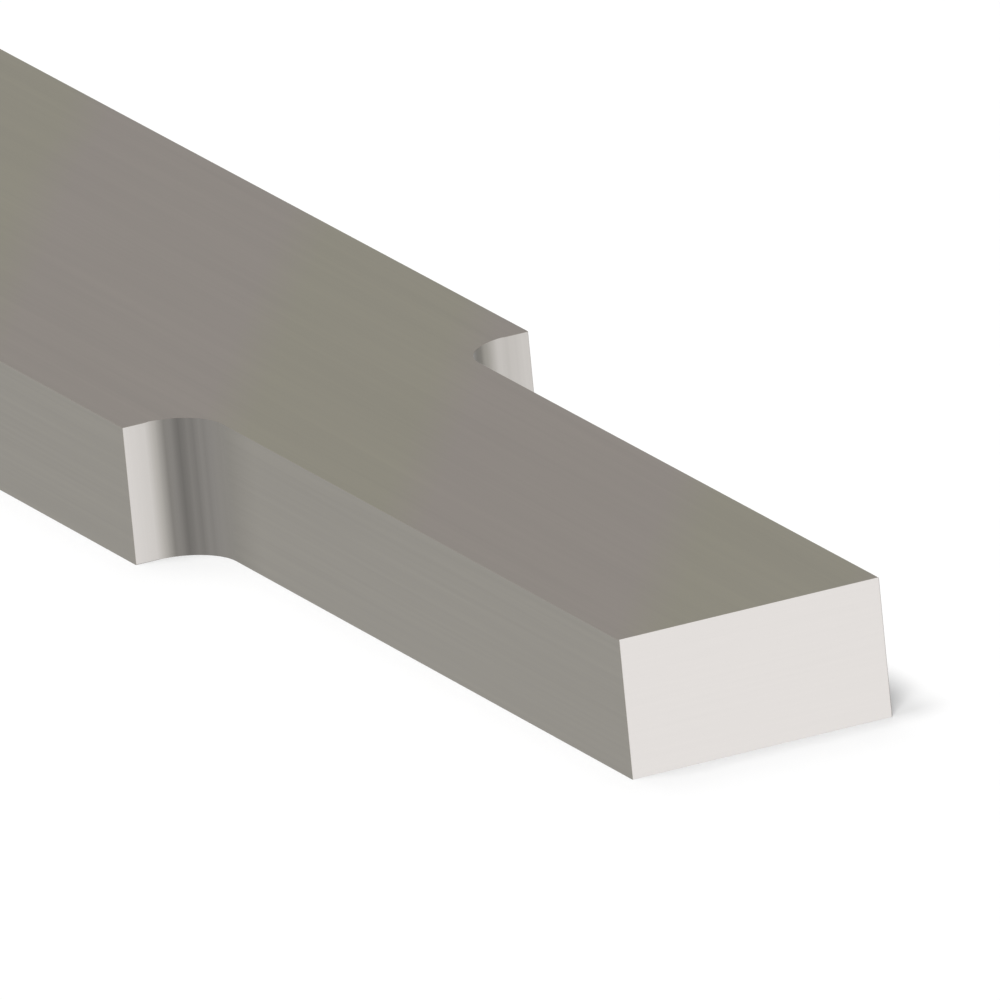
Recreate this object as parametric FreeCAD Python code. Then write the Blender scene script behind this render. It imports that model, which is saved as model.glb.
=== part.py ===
import FreeCAD, Part
import math
import os

# Blade of a skew chisel for wood turning, without its handle. It is one flat bar
# of tool steel. The front end is ground on both faces to a straight cutting edge
# that lies askew across the bar. At the other end two rounded shoulders lead into
# a narrower tang of the same thickness, with a square end, for the handle.
#
# Millimetres. X runs along the bar towards the tang's end, Y across its width and
# Z up through its thickness. The bar lies flat on its lower face at Z = 0, with
# the origin under the middle of its overall box.

# Flat bar that the blade is made from
BAR_WIDTH = 25.0
BAR_THICKNESS = 8.0
BLADE_LENGTH = 197.0

# Shoulders and tang
TANG_LENGTH = 53.0
SHOULDER_DEPTH = 4.6
SHOULDER_RADIUS = 3.25

# Cutting end: how far the edge is turned from square, and how far each bevel
# leans from the bar's middle plane, in degrees
SKEW_ANGLE = 20.0
BEVEL_ANGLE = 20.0


def overall_length():
    """Length from the long point of the edge to the end of the tang."""
    return BLADE_LENGTH + TANG_LENGTH


def shoulder_radius():
    """Radius of the hollow corners, which can't be deeper than the shoulders."""
    return min(SHOULDER_RADIUS, SHOULDER_DEPTH)


def side_outline(side):
    """Edges of the plan along one side, from the raw front to the tang's end."""
    front = -overall_length() / 2 - BAR_THICKNESS
    end = overall_length() / 2
    shoulder = end - TANG_LENGTH
    bar_y = BAR_WIDTH / 2
    tang_y = bar_y - SHOULDER_DEPTH
    radius = shoulder_radius()
    half_turn = radius * math.sqrt(0.5)
    corner = FreeCAD.Vector(shoulder, side * bar_y, 0)
    arc_start = FreeCAD.Vector(shoulder, side * (tang_y + radius), 0)
    arc_middle = FreeCAD.Vector(
        shoulder + radius - half_turn, side * (tang_y + radius - half_turn), 0)
    arc_end = FreeCAD.Vector(shoulder + radius, side * tang_y, 0)
    edges = [Part.makeLine(FreeCAD.Vector(front, side * bar_y, 0), corner)]
    if SHOULDER_DEPTH > radius:
        edges.append(Part.makeLine(corner, arc_start))
    edges.append(Part.Arc(arc_start, arc_middle, arc_end).toShape())
    edges.append(Part.makeLine(arc_end, FreeCAD.Vector(end, side * tang_y, 0)))
    return edges


def shouldered_bar():
    """The bar with its tang cut, still square and a little long at the front."""
    near = side_outline(-1)
    far = side_outline(1)
    front_end = Part.makeLine(far[0].firstVertex().Point, near[0].firstVertex().Point)
    tang_end = Part.makeLine(near[-1].lastVertex().Point, far[-1].lastVertex().Point)
    outline = Part.Wire(Part.__sortEdges__(near + far + [front_end, tang_end]))
    return Part.Face(outline).extrude(FreeCAD.Vector(0, 0, BAR_THICKNESS))


def grinding_wedge():
    """The space between the planes of the two bevels, which meet at the edge."""
    skew = math.radians(SKEW_ANGLE)
    along_edge = FreeCAD.Vector(math.sin(skew), -math.cos(skew), 0)
    inward = FreeCAD.Vector(math.cos(skew), math.sin(skew), 0)
    reach = overall_length() + BAR_WIDTH
    rise = FreeCAD.Vector(0, 0, reach * math.tan(math.radians(BEVEL_ANGLE)))
    long_point = FreeCAD.Vector(-overall_length() / 2, BAR_WIDTH / 2, BAR_THICKNESS / 2)
    apex = long_point - along_edge * reach
    upper = apex + inward * reach + rise
    lower = apex + inward * reach - rise
    section = Part.Face(Part.makePolygon([apex, upper, lower, apex]))
    return section.extrude(along_edge * (2 * reach))


def blade():
    """The finished blade as one solid."""
    ground = shouldered_bar().common(grinding_wedge())
    return ground.Solids[0]


os.makedirs("parts", exist_ok=True)
blade().exportStep("parts/blade.step")
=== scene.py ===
"""Looks of a skew chisel blade: its ground and milled steel, and a pale studio."""

import math

import bmesh
import bpy
from bpy.props import FloatProperty, FloatVectorProperty, IntProperty, PointerProperty
from bpy.types import Operator, Panel, PropertyGroup
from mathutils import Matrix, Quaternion, Vector


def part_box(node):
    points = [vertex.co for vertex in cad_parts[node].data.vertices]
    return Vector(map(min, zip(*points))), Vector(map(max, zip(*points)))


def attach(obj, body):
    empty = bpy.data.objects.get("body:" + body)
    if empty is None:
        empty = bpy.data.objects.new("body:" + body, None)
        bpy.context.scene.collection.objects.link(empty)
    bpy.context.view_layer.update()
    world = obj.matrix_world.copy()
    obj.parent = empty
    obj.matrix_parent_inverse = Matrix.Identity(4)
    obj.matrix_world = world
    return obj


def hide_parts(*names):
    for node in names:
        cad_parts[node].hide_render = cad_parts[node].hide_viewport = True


bl_info = {
    "name": "Skew Chisel Blade",
    "version": (1, 0, 0),
    "blender": (4, 5, 0),
    "location": "View3D > Sidebar > Skew Chisel",
    "description": "Builds a skew chisel blade of ground steel on a pale studio floor",
    "category": "Add Mesh",
}

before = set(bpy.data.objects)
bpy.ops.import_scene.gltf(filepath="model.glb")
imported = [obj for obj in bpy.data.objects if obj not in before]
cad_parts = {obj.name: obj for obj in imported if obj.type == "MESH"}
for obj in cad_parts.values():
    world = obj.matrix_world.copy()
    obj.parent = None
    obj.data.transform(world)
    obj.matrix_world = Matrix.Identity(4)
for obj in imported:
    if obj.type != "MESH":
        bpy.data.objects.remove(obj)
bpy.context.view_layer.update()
LOW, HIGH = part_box("blade")

# A millimetre in metres, and the width of the camera's sensor in millimetres
MM = 0.001
SENSOR_WIDTH = 36.0

# Material slots of the blade
FACES, SIDES, ENDS, BEVELS = range(4)

# How far a face's normal points along an axis: hardly, mostly or almost fully
HARDLY, MOSTLY, ALMOST = 0.3, 0.5, 0.9

# An edge that turns by less than FLAT isn't needed, and one by more than SHARP is sharp
FLAT, SHARP = math.radians(1), math.radians(45)

# Depth of the tang's end in millimetres, and a step past a surface in metres
END_DEPTH = 0.1
HAIR = 0.000001

# Marks of the grain: their sizes along X, Y and Z in metres
FINE_GRAIN = (0.02, 0.0002, 0.0002)
COARSE_GRAIN = (0.05, 0.0009, 0.0009)
MILLED_GRAIN = (0.0002, 0.0002, 0.02)
END_GRAIN = (0.0002, 0.01, 0.0002)
BEVEL_GRAIN = (0.008, 0.0002, 0.02)

# Painted reflection and shade round a milled corner, as the light falls on it: angle in
# degrees, share of the bright painted reflection, and painted shade. Angles below 0 are
# on the flat of the shoulder, and those above 90 on the first millimetres of the tang's
# side.
NEAR_CORNER_PAINTED_LIGHT = (
    (-22, 0.8, 1.0), (0, 0.64, 1.0), (8, 0.32, 1.0), (19, 0.2, 0.57), (25, 0.3, 0.52),
    (33, 0.3, 0.36), (42, 0.3, 0.48), (48, 0.3, 0.44), (54, 0.3, 0.53), (59, 0.3, 0.5),
    (66, 0.3, 0.55), (100, 0.0, 0.86), (140, 0.0, 1.0))
FAR_CORNER_PAINTED_LIGHT = (
    (-22, 0.63, 1.0), (0, 0.48, 1.0), (11, 0.53, 1.0), (25, 0.09, 1.0),
    (30, 0.06, 0.97), (36, 0.0, 0.74), (44, 0.0, 0.67), (54, 0.0, 0.76), (140, 0.0, 1.0))


class BladeShape(PropertyGroup):
    """Sizes of the blade. The outer three come from the blade in model.glb."""

    length: FloatProperty(
        name="Length", description="From the long point of the edge to the tang's end",
        default=HIGH.x - LOW.x, min=0.05, unit="LENGTH", precision=5)
    width: FloatProperty(
        name="Bar width", description="Width of the bar in front of the shoulders",
        default=HIGH.y - LOW.y, min=0.005, unit="LENGTH", precision=5)
    thickness: FloatProperty(
        name="Thickness", description="Thickness of the bar and of the tang",
        default=HIGH.z - LOW.z, min=0.002, unit="LENGTH", precision=5)
    tang_length: FloatProperty(
        name="Tang length", description="From the shoulders to the square end",
        default=0.053, min=0.01, unit="LENGTH", precision=5)
    shoulder_depth: FloatProperty(
        name="Shoulder depth", description="How far the tang is cut in from each side",
        default=0.0046, min=0.001, unit="LENGTH", precision=5)
    corner_radius: FloatProperty(
        name="Corner radius", description="Radius of the hollow corners at the shoulders",
        default=0.00325, min=0.0005, unit="LENGTH", precision=5)
    corner_segments: IntProperty(
        name="Corner segments", description="Flat steps in each hollow corner",
        default=32, min=4, max=64)
    skew_angle: FloatProperty(
        name="Skew angle", description="How far the edge is turned from square",
        default=math.radians(20), min=0, max=math.radians(60), unit="ROTATION")
    bevel_angle: FloatProperty(
        name="Bevel angle", description="Lean of each bevel from the middle plane",
        default=math.radians(20), min=math.radians(5), max=math.radians(45),
        unit="ROTATION")
    edge_break: FloatProperty(
        name="Edge break", description="Width of the stoned-off edges of the bar",
        default=0.00004, min=0, unit="LENGTH", precision=6)
    edge_segments: IntProperty(
        name="Edge segments", description="Flat steps across a stoned-off edge",
        default=2, min=1, max=6)


class BladeFinish(PropertyGroup):
    """Colours and surface of the steel."""

    olive_color: FloatVectorProperty(
        name="Olive colour", description="Cooler bands on the wide faces",
        subtype="COLOR", default=(0.282, 0.265, 0.211), min=0, max=1)
    warm_color: FloatVectorProperty(
        name="Warm colour", description="Warmer bands on the wide faces",
        subtype="COLOR", default=(0.286, 0.2565, 0.231), min=0, max=1)
    # Painted reflection: the long sides are painted a little lighter than the wide faces
    # for how the light falls on them
    side_color: FloatVectorProperty(
        name="Side colour", description="Steel on the long sides and in the corners",
        subtype="COLOR", default=(0.3335, 0.3165, 0.2845), min=0, max=1)
    # Painted reflection: this bright colour on the shoulders and the tang's end stands in
    # for the light they reflect
    painted_reflection_color: FloatVectorProperty(
        name="Cut colour", description="Bright steel on the shoulders and the tang's end",
        subtype="COLOR", default=(0.812, 0.780, 0.757), min=0, max=1)
    bevel_color: FloatVectorProperty(
        name="Bevel colour", description="Ground steel of the two bevels",
        subtype="COLOR", default=(0.50, 0.485, 0.465), min=0, max=1)
    edge_tint: FloatProperty(
        name="Edge tint", description="How bright the steel is at a glancing angle",
        default=0.7, min=0, max=1)
    roughness: FloatProperty(
        name="Roughness", description="Spread of the reflections on the steel",
        default=0.38, min=0, max=1)
    sheen_spread: FloatProperty(
        name="Sheen spread", description="How far the grain varies the roughness",
        default=0.1, min=0, max=1)
    grain_depth: FloatProperty(
        name="Grain depth", description="Depth of the grain in the surface",
        default=0.00001, min=0, unit="LENGTH", precision=6)
    grain_relief: FloatProperty(
        name="Grain relief", description="How much of the grain's depth shows",
        default=0.15, min=0, max=1)
    band_length: FloatProperty(
        name="Band length", description="Distance over which the face tints repeat",
        default=0.02774, min=0.001, unit="LENGTH", precision=5)
    band_start: FloatProperty(
        name="Band start", description="Shift of the face tints",
        default=math.radians(286), unit="ROTATION")
    band_turn: FloatProperty(
        name="Band turn", description="From the bar's length to where the tints repeat",
        default=math.radians(57.206), unit="ROTATION")
    band_sharpness: FloatProperty(
        name="Band sharpness", description="How quickly one tint turns into the other",
        default=1.5, min=0)
    band_balance: FloatProperty(
        name="Band balance", description="Shift from the warm tint to the olive one",
        default=0.2, min=-1, max=1)
    wander_start: FloatProperty(
        name="Wander start", description="Place along the bar where the bands stray",
        default=0.035, unit="LENGTH")
    wander_size: FloatProperty(
        name="Wander size", description="Distance over which the straying changes",
        default=0.03, min=0.001, unit="LENGTH")
    wander_share: FloatProperty(
        name="Wander share", description="How far the bands stray, as a share of the way",
        default=0.25, min=0, max=1)


class StudioLook(PropertyGroup):
    """Camera, lamps and floor."""

    azimuth: FloatProperty(
        name="Azimuth", description="Turn of the camera round the blade",
        default=math.radians(65.74), unit="ROTATION")
    elevation: FloatProperty(
        name="Elevation", description="Height of the camera above the horizon",
        default=math.radians(17.781), unit="ROTATION")
    roll: FloatProperty(
        name="Roll", description="Turn of the camera about its own line of sight",
        default=math.radians(-5.628), unit="ROTATION")
    aim_back: FloatProperty(
        name="Aim from the tang's end", description="Aim point, measured from the end",
        default=0.038106, unit="LENGTH", precision=5)
    aim_side: FloatProperty(
        name="Aim to the far side", description="Aim point, measured from the middle",
        default=0.003079, unit="LENGTH", precision=5)
    distance: FloatProperty(
        name="Distance", description="From the camera to its aim point",
        default=2.59386, min=0.1, unit="LENGTH")
    lens: FloatProperty(
        name="Lens", description="Focal length in millimetres on a 36 mm sensor",
        default=1700, min=50, max=1720)
    front_strength: FloatProperty(
        name="Front lamp", description="Strength of the lamp above the camera",
        default=2.034, min=0)
    top_strength: FloatProperty(
        name="Top lamp", description="Strength of the lamp high over the blade",
        default=0.880, min=0)
    side_strength: FloatProperty(
        name="Side lamp", description="Strength of the wide lamp at the cutting end",
        default=0.498, min=0)
    fill: FloatProperty(
        name="Fill", description="Light of the surroundings on matt surfaces",
        default=0.037, min=0, max=1)
    floor_lift: FloatProperty(
        name="Floor lift", description="How far the floor is lifted towards white",
        default=0.230, min=0, max=1)
    floor_grey: FloatProperty(
        name="Floor grey", description="Share of the light that the floor gives back",
        default=0.8, min=0, max=1)
    floor_reach: FloatProperty(
        name="Floor reach", description="From the middle of the floor to its sides",
        default=10.0, min=1, unit="LENGTH")
    floor_height: FloatProperty(
        name="Floor height", description="Height of the floor above the lower face",
        default=0.00001, unit="LENGTH", precision=6)


class Term:
    """A socket in a node tree. Sums and products of terms add Math nodes."""

    def __init__(self, tree, socket=None):
        self.tree = tree
        self.socket = socket

    def node(self, kind, settings, inputs, output=0):
        """Add a node with its settings, then its values and links."""
        node = self.tree.nodes.new(kind)
        for name, value in settings.items():
            if name == "stops":
                set_stops(node.color_ramp, value)
            else:
                setattr(node, name, value)
        for key, value in inputs.items():
            if isinstance(value, Term):
                self.tree.links.new(value.socket, node.inputs[key])
            else:
                node.inputs[key].default_value = value
        return Term(self.tree, node.outputs[output] if node.outputs else None)

    def math(self, operation, *values):
        """Add a Math node on these values."""
        return self.node(
            "ShaderNodeMath", {"operation": operation}, dict(enumerate(values)))

    def mix(self, factor, first, second, blend="MIX"):
        """Add a Mix node: the first colour at 0, blended with the second at 1."""
        return self.node(
            "ShaderNodeMix", {"data_type": "RGBA", "blend_type": blend},
            {"Factor": factor, 6: first, 7: second}, 2)

    def __add__(self, other):
        return self.math("ADD", self, other)

    def __radd__(self, other):
        return self.math("ADD", other, self)

    def __sub__(self, other):
        return self.math("SUBTRACT", self, other)

    def __rsub__(self, other):
        return self.math("SUBTRACT", other, self)

    def __mul__(self, other):
        return self.math("MULTIPLY", self, other)

    def __rmul__(self, other):
        return self.math("MULTIPLY", other, self)

    def __truediv__(self, other):
        return self.math("DIVIDE", self, other)

    def __rtruediv__(self, other):
        return self.math("DIVIDE", other, self)


def set_stops(ramp, stops):
    """Give a ramp its stops, as pairs of place and colour."""
    while len(ramp.elements) < len(stops):
        ramp.elements.new(1.0)
    for element, (place, color) in zip(ramp.elements, stops):
        element.position = place
        element.color = color


def new_material(name):
    """An empty node material, and a term to start its nodes from."""
    material = bpy.data.materials.new(name)
    material.use_nodes = True
    material.node_tree.nodes.clear()
    return material, Term(material.node_tree)


def rgba(color):
    """A colour property as four values."""
    return (*color, 1.0)


def grey(level):
    """A grey colour."""
    return (level, level, level, 1.0)


def coordinates(start):
    """The object coordinates."""
    return start.node("ShaderNodeTexCoord", {}, {}, "Object")


def along(place, axis):
    """The coordinate along X, Y or Z."""
    return place.node("ShaderNodeSeparateXYZ", {}, {0: place}, axis)


def streaks(place, size, turn=0.0):
    """Noise from 0 to 1 in marks of a size in metres, turned about the vertical."""
    drawn = place.node("ShaderNodeMapping", {"vector_type": "TEXTURE"}, {
        "Vector": place, "Rotation": (0.0, 0.0, turn), "Scale": size})
    return place.node("ShaderNodeTexNoise", {}, {
        "Vector": drawn, "Scale": 1.0, "Detail": 2.0}, "Fac")


def metal(start, finish, color, grain, contrast):
    """Bare steel of a colour, with a grain in its tone, its sheen and its surface."""
    level = 1.0 + (grain - 0.5) * contrast
    relief = start.node("ShaderNodeBump", {}, {
        "Height": grain, "Strength": finish.grain_relief, "Distance": finish.grain_depth})
    shader = start.node("ShaderNodeBsdfPrincipled", {}, {
        "Base Color": start.mix(1.0, color, level, "MULTIPLY"), "Metallic": 1.0,
        "Roughness": finish.roughness + (grain - 0.5) * finish.sheen_spread,
        "Specular Tint": grey(finish.edge_tint), "Normal": relief})
    start.node("ShaderNodeOutputMaterial", {}, {"Surface": shader})


def face_steel(finish):
    """Steel of the wide faces, in soft slanting bands of two tints.

    The bands are even at the tang, and wander more the nearer they are to the edge.
    """
    material, start = new_material("ground_face")
    place = coordinates(start)
    x, y = along(place, "X"), along(place, "Y")
    way = start.math("MAXIMUM", finish.wander_start - x, 0.0)
    wander = way * (streaks(place, [finish.wander_size] * 3) - 0.5) * finish.wander_share
    across = x * math.cos(finish.band_turn) + y * math.sin(finish.band_turn) + wander
    phase = across * (math.tau / finish.band_length) + finish.band_start
    wave = start.math("SINE", phase) * finish.band_sharpness + finish.band_balance
    band = start.math("MINIMUM", start.math("MAXIMUM", wave, 0.0), 1.0)
    color = start.mix(band, rgba(finish.warm_color), rgba(finish.olive_color))
    grain = (streaks(place, FINE_GRAIN) + streaks(place, COARSE_GRAIN)) * 0.5
    metal(start, finish, color, grain, contrast=0.32)
    return material


def shaded(finish, share, shade):
    """Side steel mixed with a share of the bright painted reflection, times a painted
    shade.
    """
    dark, bright = Vector(finish.side_color), Vector(finish.painted_reflection_color)
    return rgba(dark.lerp(bright, share) * shade)


def corner_painted_light(turn, finish, stops):
    """Painted reflection and shade round a milled corner, by the angle of the place round
    its axis.
    """
    first, last = stops[0][0], stops[-1][0]
    ramp = [
        ((angle - first) / (last - first), shaded(finish, share, shade))
        for angle, share, shade in stops]
    place = (turn - math.radians(first)) / math.radians(last - first)
    return turn.node("ShaderNodeValToRGB", {"stops": ramp}, {0: place})


def side_steel(shape, finish):
    """Steel of the long sides, with a milled grain and a painted reflection and shade in
    the hollow corners.
    """
    material, start = new_material("milled_side_painted_light")
    place = coordinates(start)
    x, y = along(place, "X"), along(place, "Y")
    shoulder = shape.length / 2 - shape.tang_length
    axis_y = shape.width / 2 - shape.shoulder_depth + shape.corner_radius
    axis_x = shoulder + shape.corner_radius
    turn = start.math("ARCTAN2", axis_y - start.math("ABSOLUTE", y), axis_x - x)
    # Painted reflection and shade in the hollow corners, one ramp for the near corner and
    # one for the far, as the light falls on each
    corner = start.mix(
        start.math("GREATER_THAN", y, 0.0), corner_painted_light(turn, finish, NEAR_CORNER_PAINTED_LIGHT),
        corner_painted_light(turn, finish, FAR_CORNER_PAINTED_LIGHT))
    behind = start.math("GREATER_THAN", x, shoulder - HAIR)
    color = start.mix(behind, rgba(finish.side_color), corner)
    milled = behind * start.math("LESS_THAN", x, axis_x)
    drawn = streaks(place, FINE_GRAIN)
    upright = 0.5 + (streaks(place, MILLED_GRAIN) - 0.5) * 0.5
    grain = drawn + (upright - drawn) * milled
    metal(start, finish, color, grain, contrast=0.2)
    return material


def end_steel(finish):
    """Steel of the tang's square end, painted bright as a painted reflection of the
    light.
    """
    material, start = new_material("cut_end")
    grain = streaks(coordinates(start), END_GRAIN)
    metal(start, finish, rgba(finish.painted_reflection_color), grain, contrast=0.04)
    return material


def bevel_steel(shape, finish):
    """Steel of the two bevels, with scratches straight across the edge."""
    material, start = new_material("whetted_bevel")
    grain = streaks(coordinates(start), BEVEL_GRAIN, turn=shape.skew_angle)
    metal(start, finish, rgba(finish.bevel_color), grain, contrast=0.4)
    return material


def whole(bm):
    """Every vertex, edge and face."""
    return bm.verts[:] + bm.edges[:] + bm.faces[:]


def square_bar(bm, shape):
    """A closed bar from a raw front end to the shoulders, in millimetres."""
    front = -shape.length / 2 - shape.thickness
    shoulder = shape.length / 2 - shape.tang_length
    made = bmesh.ops.create_cube(bm, size=1.0)
    size = Vector((shoulder - front, shape.width, shape.thickness)) / MM
    middle = Vector(((shoulder + front) / 2, 0, shape.thickness / 2)) / MM
    bmesh.ops.scale(bm, vec=size, verts=made["verts"])
    bmesh.ops.translate(bm, vec=middle, verts=made["verts"])


def draw_out_tang(bm, shape):
    """Split the end face and extrude its middle, so that two shoulders are left."""
    tang_side = (shape.width / 2 - shape.shoulder_depth) / MM
    for side in (-1, 1):
        bmesh.ops.bisect_plane(
            bm, geom=whole(bm), plane_co=(0, side * tang_side, 0), plane_no=(0, 1, 0))
    middle = [
        face for face in bm.faces
        if face.normal.x > ALMOST and abs(face.calc_center_median().y) < tang_side]
    rim = [edge for face in middle for edge in face.edges]
    made = bmesh.ops.extrude_face_region(bm, geom=middle + rim)
    moved = [item for item in made["geom"] if isinstance(item, bmesh.types.BMVert)]
    bmesh.ops.translate(bm, vec=(shape.tang_length / MM, 0, 0), verts=moved)
    bmesh.ops.dissolve_limit(bm, angle_limit=FLAT, verts=bm.verts[:], edges=bm.edges[:])


def bevel_edges(bm, edges, width, segments):
    """Round edges off, or round hollow ones out."""
    bmesh.ops.bevel(
        bm, geom=edges, offset=width, offset_type="OFFSET", segments=segments,
        profile=0.5, affect="EDGES", material=-1, clamp_overlap=False)


def round_out_corners(bm, shape):
    """Give the two inside corners at the shoulders their radius."""
    inside = [
        edge for edge in bm.edges
        if not edge.is_convex and edge.calc_face_angle() > SHARP]
    bevel_edges(bm, inside, shape.corner_radius / MM, shape.corner_segments)


def name_surfaces(bm, shape):
    """Give each face the material slot for its place."""
    end = shape.length / 2 / MM - END_DEPTH
    for face in bm.faces:
        if face.calc_center_median().x > end and abs(face.normal.y) < HARDLY:
            face.material_index = ENDS
        elif abs(face.normal.z) > MOSTLY:
            face.material_index = FACES
        else:
            face.material_index = SIDES


def stone_off_edges(bm, shape):
    """Take the sharpness off every edge of the bar."""
    sharp = [edge for edge in bm.edges if edge.calc_face_angle() > SHARP]
    bevel_edges(bm, sharp, shape.edge_break / MM, shape.edge_segments)


def grind_bevels(bm, shape):
    """Cut the raw front end along both bevel planes, and close each cut."""
    long_point = Vector((-shape.length, shape.width, shape.thickness)) / 2 / MM
    lean = math.sin(shape.bevel_angle)
    out = Vector((-math.cos(shape.skew_angle), -math.sin(shape.skew_angle), 0)) * lean
    for side in (1, -1):
        normal = out + Vector((0, 0, side * math.cos(shape.bevel_angle)))
        cut = bmesh.ops.bisect_plane(
            bm, geom=whole(bm), plane_co=long_point, plane_no=normal, clear_outer=True)
        rim = [item for item in cut["geom_cut"] if isinstance(item, bmesh.types.BMEdge)]
        closed = bmesh.ops.edgeloop_fill(bm, edges=rim)
        for face in closed["faces"]:
            face.material_index = BEVELS
    bmesh.ops.recalc_face_normals(bm, faces=bm.faces[:])


def blade_mesh(shape):
    """The whole blade as one closed mesh, in metres."""
    bm = bmesh.new()
    square_bar(bm, shape)
    draw_out_tang(bm, shape)
    round_out_corners(bm, shape)
    stone_off_edges(bm, shape)
    name_surfaces(bm, shape)
    grind_bevels(bm, shape)
    bmesh.ops.scale(bm, vec=(MM, MM, MM), verts=bm.verts)
    for face in bm.faces:
        face.smooth = True
        if face.material_index == BEVELS:
            for edge in face.edges:
                edge.smooth = False
    mesh = bpy.data.meshes.new("steel_blade")
    bm.to_mesh(mesh)
    bm.free()
    return mesh


def show(name, data):
    """A new object for a mesh, lamp or camera, in the scene."""
    made = bpy.data.objects.new(name, data)
    bpy.context.scene.collection.objects.link(made)
    return made


class SKEW_OT_blade(Operator):
    """Build the blade and give it its steel"""

    bl_idname = "skew_chisel.blade"
    bl_label = "Blade"

    def execute(self, context):
        shape = context.scene.skew_shape
        finish = context.scene.skew_finish
        mesh = blade_mesh(shape)
        mesh.materials.append(face_steel(finish))
        mesh.materials.append(side_steel(shape, finish))
        mesh.materials.append(end_steel(finish))
        mesh.materials.append(bevel_steel(shape, finish))
        blade = show("steel_blade", mesh)
        normals = blade.modifiers.new("even_shading", "WEIGHTED_NORMAL")
        normals.keep_sharp = True
        blade.visible_glossy = False
        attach(blade, "root")
        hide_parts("blade")
        return {"FINISHED"}


def is_ray(start, *kinds):
    """1 for rays of the kinds named that no matt surface has scattered, or else 0."""
    scattered = start.node("ShaderNodeLightPath", {}, {}, "Diffuse Depth")
    total = 0.0
    for kind in kinds:
        total = total + start.node("ShaderNodeLightPath", {}, {}, f"Is {kind} Ray")
    return start.math("MINIMUM", total, 1.0) * start.math("LESS_THAN", scattered, 0.5)


def floor_surface(look):
    """White to the camera and in reflections, and matt for light and shadow."""
    material, start = new_material("studio_floor")
    matt = start.node("ShaderNodeBsdfDiffuse", {}, {"Color": grey(look.floor_grey)})
    lift = start.node("ShaderNodeEmission", {}, {
        "Color": grey(1.0), "Strength": look.floor_lift})
    white = start.node("ShaderNodeEmission", {}, {"Color": grey(1.0), "Strength": 1.0})
    lifted = start.node("ShaderNodeAddShader", {}, {0: matt, 1: lift})
    seen = start.node("ShaderNodeMixShader", {}, {
        0: is_ray(start, "Camera"), 1: matt, 2: lifted})
    surface = start.node("ShaderNodeMixShader", {}, {
        0: is_ray(start, "Glossy", "Transmission"), 1: seen, 2: white})
    start.node("ShaderNodeOutputMaterial", {}, {"Surface": surface})
    return material


def make_floor(look):
    """A wide flat floor, a hair above the blade's lower face, to close its edges."""
    bm = bmesh.new()
    bmesh.ops.create_grid(bm, x_segments=1, y_segments=1, size=look.floor_reach)
    bmesh.ops.translate(bm, vec=(0, 0, look.floor_height), verts=bm.verts)
    mesh = bpy.data.meshes.new("studio_floor")
    bm.to_mesh(mesh)
    bm.free()
    mesh.materials.append(floor_surface(look))
    show("studio_floor", mesh)


def make_world(look):
    """White to the camera and in reflections, and dimmer for matt surfaces."""
    world = bpy.data.worlds.new("studio")
    bpy.context.scene.world = world
    world.use_nodes = True
    world.node_tree.nodes.clear()
    start = Term(world.node_tree)
    white = is_ray(start, "Camera", "Glossy", "Transmission")
    back = start.node("ShaderNodeBackground", {}, {
        "Color": grey(1.0), "Strength": look.fill + white * (1.0 - look.fill)})
    start.node("ShaderNodeOutputWorld", {}, {"Surface": back})


def direction(azimuth, elevation):
    """Unit vector towards a place given as for the camera, in radians."""
    level = math.cos(elevation)
    return Vector((
        math.sin(azimuth) * level, -math.cos(azimuth) * level, math.sin(elevation)))


def make_sun(name, azimuth, elevation, width, strength):
    """A distant soft lamp at an azimuth and elevation, in degrees, with no glint."""
    lamp = bpy.data.lights.new(name, "SUN")
    lamp.energy = strength
    lamp.angle = math.radians(width)
    sun = show(name, lamp)
    towards = direction(math.radians(azimuth), math.radians(elevation))
    sun.location = towards
    sun.visible_glossy = False
    sun.rotation_euler = (-towards).to_track_quat("-Z", "Y").to_euler()


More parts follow.
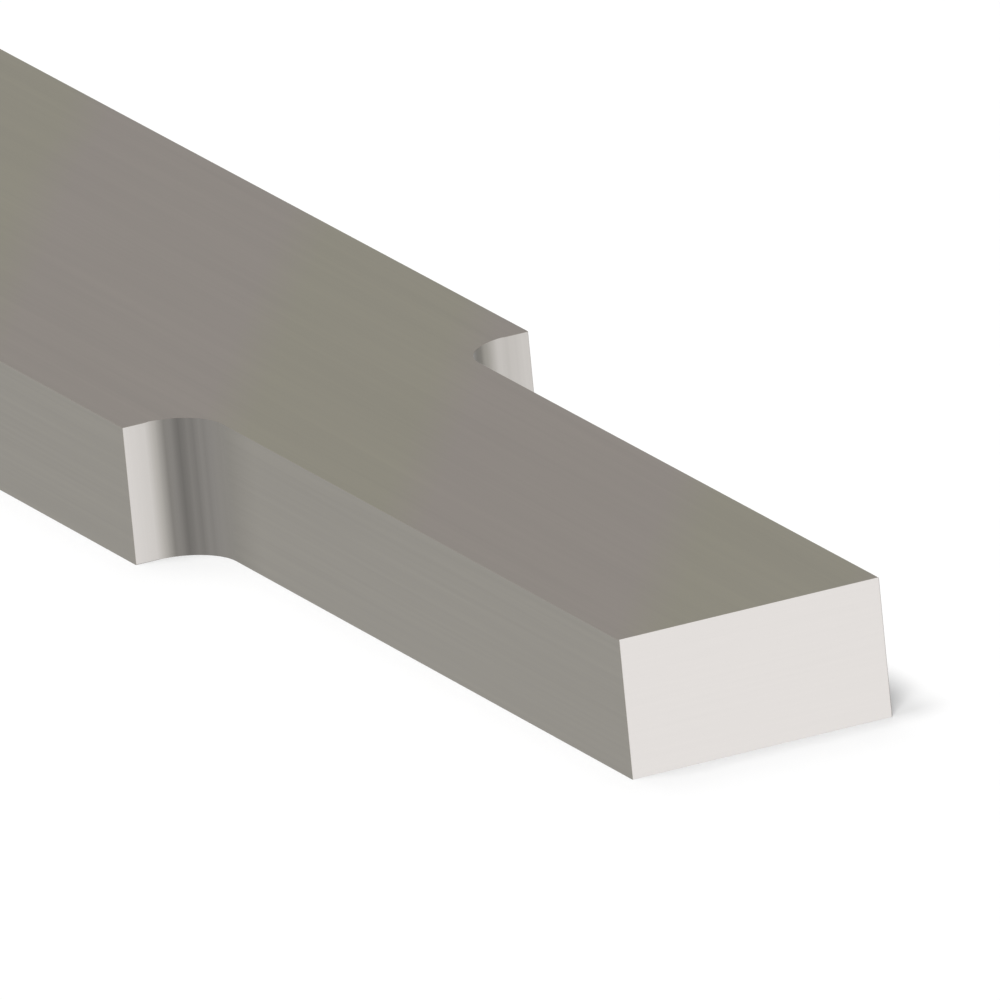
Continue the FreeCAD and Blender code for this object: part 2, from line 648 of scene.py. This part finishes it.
def make_camera(look):
    """The camera, from the angle at which the blade is meant to be seen."""
    back = direction(look.azimuth, look.elevation)
    aim = Vector((HIGH.x - look.aim_back, look.aim_side, (LOW.z + HIGH.z) / 2))
    data = bpy.data.cameras.new("camera")
    data.lens = look.lens
    data.sensor_width = SENSOR_WIDTH
    camera = show("camera", data)
    camera.location = aim + back * look.distance
    camera.rotation_mode = "QUATERNION"
    level = (-back).to_track_quat("-Z", "Y")
    camera.rotation_quaternion = level @ Quaternion((0, 0, 1), look.roll)
    bpy.context.scene.camera = camera


class SKEW_OT_studio(Operator):
    """Set up the floor, the surroundings, the lamps and the camera"""

    bl_idname = "skew_chisel.studio"
    bl_label = "Studio"

    def execute(self, context):
        look = context.scene.skew_studio
        make_floor(look)
        make_world(look)
        make_sun(
            "front_lamp", azimuth=59.4, elevation=57.9, width=19.6,
            strength=look.front_strength)
        make_sun(
            "top_lamp", azimuth=-11.1, elevation=70.5, width=18.7,
            strength=look.top_strength)
        make_sun(
            "side_lamp", azimuth=-92.9, elevation=62.4, width=42.8,
            strength=look.side_strength)
        make_camera(look)
        context.scene.view_settings.view_transform = "Standard"
        return {"FINISHED"}


class SKEW_PT_panel(Panel):
    """Sidebar panel with the blade and its studio"""

    bl_idname = "SKEW_PT_panel"
    bl_label = "Skew Chisel"
    bl_space_type = "VIEW_3D"
    bl_region_type = "UI"
    bl_category = "Skew Chisel"

    def draw(self, context):
        for operator in (SKEW_OT_blade, SKEW_OT_studio):
            self.layout.operator(operator.bl_idname)


CLASSES = (
    BladeShape, BladeFinish, StudioLook, SKEW_OT_blade, SKEW_OT_studio, SKEW_PT_panel)


def register():
    """Make the operators, the panel and the scene's settings known."""
    for item in CLASSES:
        bpy.utils.register_class(item)
    bpy.types.Scene.skew_shape = PointerProperty(type=BladeShape)
    bpy.types.Scene.skew_finish = PointerProperty(type=BladeFinish)
    bpy.types.Scene.skew_studio = PointerProperty(type=StudioLook)


def unregister():
    """Take back what register() did."""
    del bpy.types.Scene.skew_studio
    del bpy.types.Scene.skew_finish
    del bpy.types.Scene.skew_shape
    for item in reversed(CLASSES):
        bpy.utils.unregister_class(item)


def main():
    register()
    bpy.ops.skew_chisel.blade()
    bpy.ops.skew_chisel.studio()


if __name__ == "__main__":
    main()
